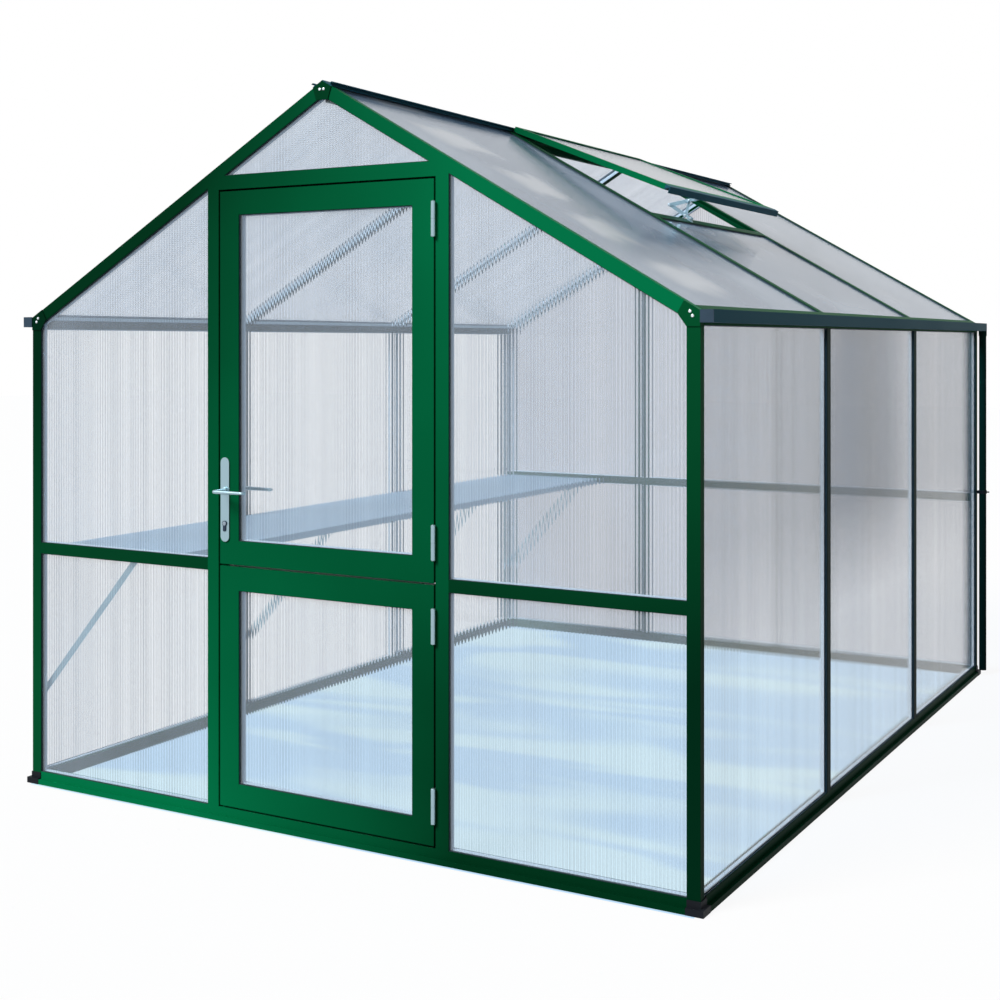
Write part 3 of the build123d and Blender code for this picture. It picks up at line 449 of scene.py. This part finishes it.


# One kind of sheet in four copies with painted light: milky at the front, a little grey at the
# rear as painted shade, clearer and bluer along the sides, and nearly opaque steel blue where
# the roof carries a painted sky reflection
front_glaze = twin_wall("twin_wall_polycarbonate_front", "X", "#FFFFFF", "#DCE5EF",
                        milk=0.16, gloss=1.4)
finish_nodes(["front_sheets", "upper_leaf_sheet", "lower_leaf_sheet"], front_glaze)
rear_glaze = twin_wall("twin_wall_polycarbonate_rear", "X", "#ECECEE", "#C0CBD6",
                       milk=0.07, gloss=1.4)
finish_nodes(["rear_sheets"], rear_glaze)
side_glaze = twin_wall("twin_wall_polycarbonate_sides", "Y", "#FFFFFF", "#C4D6E8",
                       milk=0.05, gloss=1.3, painted_reflection=painted_panel_reflection)
finish_nodes(["left_wall_sheets", "right_wall_sheets"], side_glaze)
roof_glaze = twin_wall("twin_wall_polycarbonate_roof", "Y", "#F1F4F8", "#B2C6DA",
                       milk=0.06, gloss=1.2, painted_reflection=painted_sky_reflection)
finish_nodes(["left_roof_sheets", "right_roof_sheets", "vent_sheet"], roof_glaze)


# Glazing beads and gaskets.
# A pale grey PVC bead is pressed in behind each sheet, along all its edges, and a thin EPDM
# rubber gasket closes the joint outside, level with the lip of the profile.
half_width, eave_height, slope_angle = 1.2, 1.56, math.radians(30.0)
ridge_height = eave_height + half_width * math.tan(slope_angle)
front_y, rear_y = -1.6075, 1.6525
slope_length = half_width / math.cos(slope_angle)
rafter_depth, roof_lap = 0.038, 0.028
under_rafter = ridge_height - rafter_depth / math.cos(slope_angle)
base_top, rail_low, rail_high, eave_rail_low = 0.04, 0.771, 0.807, 1.522
jamb_in, jamb_out, post_in, header_top = 0.3963, 0.4393, 1.162, 1.992
vent_foot = 0.6965
bead_width, bead_near, bead_far = 0.003, 0.0155, 0.0270
gasket_width, gasket_near, gasket_far = 0.0018, 0.0020, 0.0052


def plane_at(origin, along, up, inward):
    # A place whose own X, Y and Z look along, up and inward
    turn = Matrix((along, up, inward)).transposed().to_4x4()
    turn.translation = origin
    return turn


def edge_strip(mesh, outline, width, near, far, place):
    # A strip round an opening: its outline, inset by the width, then given depth
    before = set(mesh.verts)
    pane = mesh.faces.new([mesh.verts.new((u, v, near)) for u, v in outline])
    pane.normal_update()
    strip = bmesh.ops.inset_region(mesh, faces=[pane], thickness=width, use_boundary=True,
                                   use_even_offset=True)["faces"]
    bmesh.ops.delete(mesh, geom=[pane], context="FACES_ONLY")
    grown = bmesh.ops.extrude_face_region(mesh, geom=strip)["geom"]
    bmesh.ops.translate(mesh, vec=(0, 0, far - near),
                        verts=[g for g in grown if isinstance(g, bmesh.types.BMVert)])
    made = [v for v in mesh.verts if v not in before]
    bmesh.ops.transform(mesh, matrix=place, space=Matrix.Identity(4), verts=made)


def rect(u0, u1, v0, v1):
    return [(u0, v0), (u1, v0), (u1, v1), (u0, v1)]


def rafter_at(x):
    return under_rafter - abs(x) * math.tan(slope_angle)


gable_half = (under_rafter - header_top) / math.tan(slope_angle)
gable_pane = [(-gable_half, header_top), (gable_half, header_top), (0, under_rafter)]
outer_panes = []
for hand in (-1, 1):
    outer_panes.append(rect(hand * jamb_out, hand * post_in, base_top, rail_low))
    outer_panes.append([(hand * jamb_out, rail_high), (hand * post_in, rail_high),
                        (hand * post_in, rafter_at(post_in)),
                        (hand * jamb_out, rafter_at(jamb_out))])
middle_panes = [rect(-jamb_in, jamb_in, base_top, rail_low),
                [(-jamb_in, rail_high), (jamb_in, rail_high), (jamb_in, rafter_at(jamb_in)),
                 (0, under_rafter), (-jamb_in, rafter_at(jamb_in))]]
bay_ends = [(-1.5795, -0.5383), (-0.5033, 0.5483), (0.5833, 1.6245)]
front_place = plane_at((0, front_y, 0), (1, 0, 0), (0, 0, 1), (0, 1, 0))
rear_place = plane_at((0, rear_y, 0), (1, 0, 0), (0, 0, 1), (0, -1, 0))
openings = [(pane, front_place) for pane in outer_panes + [gable_pane]]
openings += [(pane, rear_place) for pane in outer_panes + middle_panes]
for hand in (-1, 1):
    wall_place = plane_at((hand * half_width, 0, 0), (0, 1, 0), (0, 0, 1), (-hand, 0, 0))
    down = (hand * math.cos(slope_angle), 0, -math.sin(slope_angle))
    inward = (-hand * math.sin(slope_angle), 0, -math.cos(slope_angle))
    roof_place = plane_at((0, 0, ridge_height), down, (0, 1, 0), inward)
    for bay, (y0, y1) in enumerate(bay_ends):
        openings.append((rect(y0, y1, base_top, eave_rail_low), wall_place))
        under_vent = hand > 0 and bay == 1
        top = vent_foot if under_vent else roof_lap
        openings.append((rect(top, slope_length - roof_lap, y0, y1), roof_place))

# Extruded PVC: a dull off-white line round each pane
grey_pvc = moulding("grey_pvc_bead", "#EAF2F8", "#F2F8FC")
# EPDM rubber, extruded: dark and without any shine; the same dark paints the shade of the keyway
# slot
epdm_and_slot_shade = moulding("epdm_gasket_and_slot_shade", "#26343A", "#303E44")
beads, gaskets = bmesh.new(), bmesh.new()
for pane, place in openings:
    edge_strip(beads, pane, bead_width, bead_near, bead_far, place)
    edge_strip(gaskets, pane, gasket_width, gasket_near, gasket_far, place)
finish_piece("glazing_beads", beads, grey_pvc, "frame")
finish_piece("glazing_gaskets", gaskets, epdm_and_slot_shade, "frame")


# Ridge cap, gutters and downpipes.
# Roll-formed and extruded aluminium in a dark grey-green coat, riveted and pushed together; the
# gutter ends and pipe clips are moulded.
dark_coat = powder_coat("dark_grey_green_coat", "#2E6470", "#234C58", middle=0.5, painted_light_swing=0.3)
finish_nodes(["gutters", "ridge_cap", "vent_drip_bar"], dark_coat)
# Painted shade: the downpipes take the same near-black copy of the green
finish_nodes(["downpipes"], painted_shade_green)
# Slate grey polypropylene from the mould: matt, a shade lighter than the gutter that it closes
slate_polypropylene = moulding("slate_polypropylene", "#31424F", "#3C4F60")
finish_nodes(["gutter_end_caps"], slate_polypropylene)
finish_nodes(["pipe_clamps"], black_polypropylene)


# Roof vent and its opener.
# A framed sheet hung in the ridge cap's channel and propped open by flat aluminium links, which
# turn on steel rivets with domed heads.
finish_nodes(["vent_frame"], green)
# Satin anodised aluminium: a cool soft shine, drawn out along the length by the brushing
satin_aluminium = bright_metal("satin_anodised_aluminium", "#9DB8C2", metallic=0.85, low=0.26,
                               high=0.4, stretch=(900.0, 900.0, 40.0), relief_mm=0.3)
finish_nodes(["vent_opener"], satin_aluminium)
opener_y = -0.1975
foot, near_foot = (0.5925, 1.9211), (0.5727, 1.9343)
knee, near_head, head = (0.5133, 1.9738), (0.5883, 1.9867), (0.6134, 1.9911)
narrow_reach, wide_reach = 0.0085, 0.0135
rivet_foot, rivet_top, rivet_height, rivet_round = 0.0044, 0.0026, 0.0022, 0.001
mesh = bmesh.new()
for points, reach in (((foot, near_foot), narrow_reach), ((knee, near_head, head), wide_reach)):
    for x, z in points:
        for way in (-1, 1):
            turned(mesh, rivet_foot, rivet_top, rivet_height, rivet_round,
                   facing((x, opener_y + way * reach, z), (0, way, 0)), segments=20)
finish_piece("opener_rivets", mesh, zinc_plate, "frame")


# Door frame and leaves.
# Mitred box profiles welded at the corners round one sheet each, hung in a frame with a stop
# all round; the sheets are held by the same beads and gaskets.
finish_nodes(["door_header", "door_jambs", "upper_leaf_frame", "lower_leaf_frame"], green)
leaf_pane_half = 0.317
leaf_bead_near, leaf_bead_far = 0.0165, 0.0330
leaf_gasket_near, leaf_gasket_far = 0.0024, 0.0062
for leaf, low, high in (("upper_leaf", 0.86615, 1.8697), ("lower_leaf", 0.1193, 0.71385)):
    pane = rect(-leaf_pane_half, leaf_pane_half, low, high)
    mesh = bmesh.new()
    edge_strip(mesh, pane, bead_width, leaf_bead_near, leaf_bead_far, front_place)
    finish_piece(leaf + "_bead", mesh, grey_pvc, leaf)
    mesh = bmesh.new()
    edge_strip(mesh, pane, gasket_width, leaf_gasket_near, leaf_gasket_far, front_place)
    finish_piece(leaf + "_gasket", mesh, epdm_and_slot_shade, leaf)


# Door hinges.
# Two-part pin hinges of satin aluminium: a knuckle on the jamb with the pin, one on the leaf
# above it, each closed by a small domed cap.
finish_nodes(["jamb_hinge_halves", "upper_leaf_hinges", "lower_leaf_hinges"], satin_aluminium)
hinge_x, hinge_out, hinge_length = 0.39315, -1.6155, 0.099
upper_hinges = [0.85915, 1.7777]
lower_hinges = [0.1123, 0.62185]
cap_foot, cap_top, cap_height, cap_round = 0.0069, 0.0045, 0.0026, 0.0015
for name, body, feet, rise, way in (
        ("jamb_hinge_caps", "frame", lower_hinges + upper_hinges, 0.0, -1),
        ("upper_hinge_caps", "upper_leaf", upper_hinges, hinge_length, 1),
        ("lower_hinge_caps", "lower_leaf", lower_hinges, hinge_length, 1)):
    mesh = bmesh.new()
    for z in feet:
        turned(mesh, cap_foot, cap_top, cap_height, cap_round,
               facing((hinge_x, hinge_out, z + rise), (0, 0, way)))
    finish_piece(name, mesh, satin_aluminium, body)


# Lever set.
# Long anodised plates each side of the stile, a dark nickel key cylinder whose dark also paints
# the shade of the keyhole, with its plug and a dark block that paints the shade of the keyway,
# and cast levers that taper from a round elbow to a tip turned back to the door.
finish_nodes(["lock_plates"], satin_aluminium)
# Black nickel plate on brass: dark, with a blurred shine; the dark also paints the shade of the
# hole round the plug
dark_nickel_and_hole_shade = bright_metal("dark_nickel_plate_and_hole_shade", "#2C3A4C", metallic=0.7, low=0.3, high=0.45,
                           stretch=(500.0, 500.0, 500.0), relief_mm=0.2)
finish_nodes(["key_cylinder"], dark_nickel_and_hole_shade)
# Bright nickel plate on brass: the plug shows as a pale disc in the dark cylinder
nickel = bright_metal("nickel_plated_brass", "#A9B9C6", metallic=0.8, low=0.25, high=0.4,
                      stretch=(500.0, 500.0, 500.0), relief_mm=0.2)
lock_x, spindle_z, key_z = -0.3684, 1.02, 0.918
plate_out, plate_in = -1.6115, -1.5695
cylinder_proud = 0.003
plug_foot, plug_top, plug_proud, plug_round = 0.0062, 0.0060, 0.0006, 0.0002
keyway_width, keyway_skin, keyway_height, keyway_drop = 0.0018, 0.0003, 0.0085, 0.0008
keyway_proud = 0.00065
plugs, keyway_shades = bmesh.new(), bmesh.new()
for face, way in ((plate_out - cylinder_proud, -1), (plate_in + cylinder_proud, 1)):
    turned(plugs, plug_foot, plug_top, plug_proud, plug_round,
           facing((lock_x, face, key_z), (0, way, 0)), segments=32)
    # Painted shade: a thin dark block, standing proud of the plug, stands in for the keyway slot
    keyway = bmesh.ops.create_cube(keyway_shades, size=1.0)["verts"]
    sized = Matrix.Diagonal((keyway_width, keyway_skin, keyway_height, 1.0))
    moved = Matrix.Translation((lock_x, face + way * keyway_proud, key_z - keyway_drop))
    bmesh.ops.transform(keyway_shades, matrix=moved @ sized, space=Matrix.Identity(4), verts=keyway)
finish_piece("key_plugs", plugs, nickel, "upper_leaf")
finish_piece("keyway_shades", keyway_shades, epdm_and_slot_shade, "upper_leaf")

lever_reach, lever_length, lever_depth, lever_radius = 0.052, 0.115, 0.016, 0.006
curve = bpy.data.curves.new("lever_line", "CURVE")
curve.dimensions = "3D"
curve.bevel_depth = lever_radius
curve.bevel_resolution = 6
curve.resolution_u = 10
curve.use_fill_caps = True
tip_x = lock_x + lever_length - lever_radius
for root, way in ((plate_out, -1), (plate_in, 1)):
    grip = root + way * lever_reach
    # Across, outwards, and the thickness as a share of the full radius
    line = [(lock_x, root - way * 0.001, 1.0), (lock_x, root + way * 0.02, 0.98),
            (lock_x, root + way * 0.040, 1.0), (lock_x, grip, 1.0), (lock_x + 0.010, grip, 1.0),
            (lock_x + 0.034, grip, 0.99), (lock_x + 0.066, grip, 0.9), (tip_x - 0.014, grip, 0.82),
            (tip_x, grip, 0.8), (tip_x, grip - way * lever_depth / 2, 0.78),
            (tip_x, grip - way * lever_depth, 0.76)]
    spline = curve.splines.new("NURBS")
    spline.points.add(len(line) - 1)
    for point, (x, y, radius) in zip(spline.points, line):
        point.co = (x, y, spindle_z, 1.0)
        point.radius = radius
    spline.order_u = 3
    spline.use_endpoint_u = True
swept = bpy.data.meshes.new_from_object(bpy.data.objects.new("lever_line", curve))
mesh = bmesh.new()
mesh.from_mesh(swept)
bmesh.ops.remove_doubles(mesh, verts=mesh.verts, dist=weld_reach)
cast_edge, cast_round = math.radians(60.0), 0.0022
rims = [e for e in mesh.edges if len(e.link_faces) == 2 and e.calc_face_angle() > cast_edge]
bmesh.ops.bevel(mesh, geom=rims, offset=cast_round, offset_type="OFFSET", segments=4, profile=0.5,
                affect="EDGES", material=-1)
collar_foot, collar_top, collar_height, collar_round = 0.011, 0.0106, 0.0073, 0.0012
for root, way in ((plate_out, -1), (plate_in, 1)):
    turned(mesh, collar_foot, collar_top, collar_height, collar_round,
           facing((lock_x, root, spindle_z), (0, way, 0)), segments=40)
spindle_radius, spindle_round = 0.007, 0.0005
turned(mesh, spindle_radius, spindle_radius, plate_in - plate_out, spindle_round,
       facing((lock_x, plate_out, spindle_z), (0, 1, 0)))
lever = finish_piece("door_lever_cast", mesh, satin_aluminium, "handle")
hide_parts("door_lever")


# Shelf.
# A tray folded from mill-finish aluminium sheet, on four flat struts bolted to the wall frame
# and to the tray's cross ribs with hexagon heads.
finish_nodes(["shelf_struts"], satin_aluminium)
# Mill finish: pale and dull, with faint streaks along the rolling
mill_aluminium = bright_metal("mill_aluminium_sheet", "#A3BFD4", metallic=0.5, low=0.4, high=0.55,
                              stretch=(200.0, 6.0, 200.0), relief_mm=0.1)
finish_nodes(["shelf"], mill_aluminium)
strut_feet = ((-1.5795, 1), (-0.5033, 1), (0.5833, 1), (1.6245, -1))
wall_bolt, rib_bolt = (-1.1715, 0.3065, 0.003), (-0.769, 0.772, 0.0055)
bolt_radius, bolt_height, bolt_round = 0.0056, 0.0034, 0.0008
mesh = bmesh.new()
for y, way in strut_feet:
    for x, z, proud in (wall_bolt, rib_bolt):
        turned(mesh, bolt_radius, bolt_radius, bolt_height, bolt_round,
               facing((x, y + way * proud, z), (0, way, 0)), segments=6)
finish_piece("strut_bolts", mesh, zinc_plate, "frame")
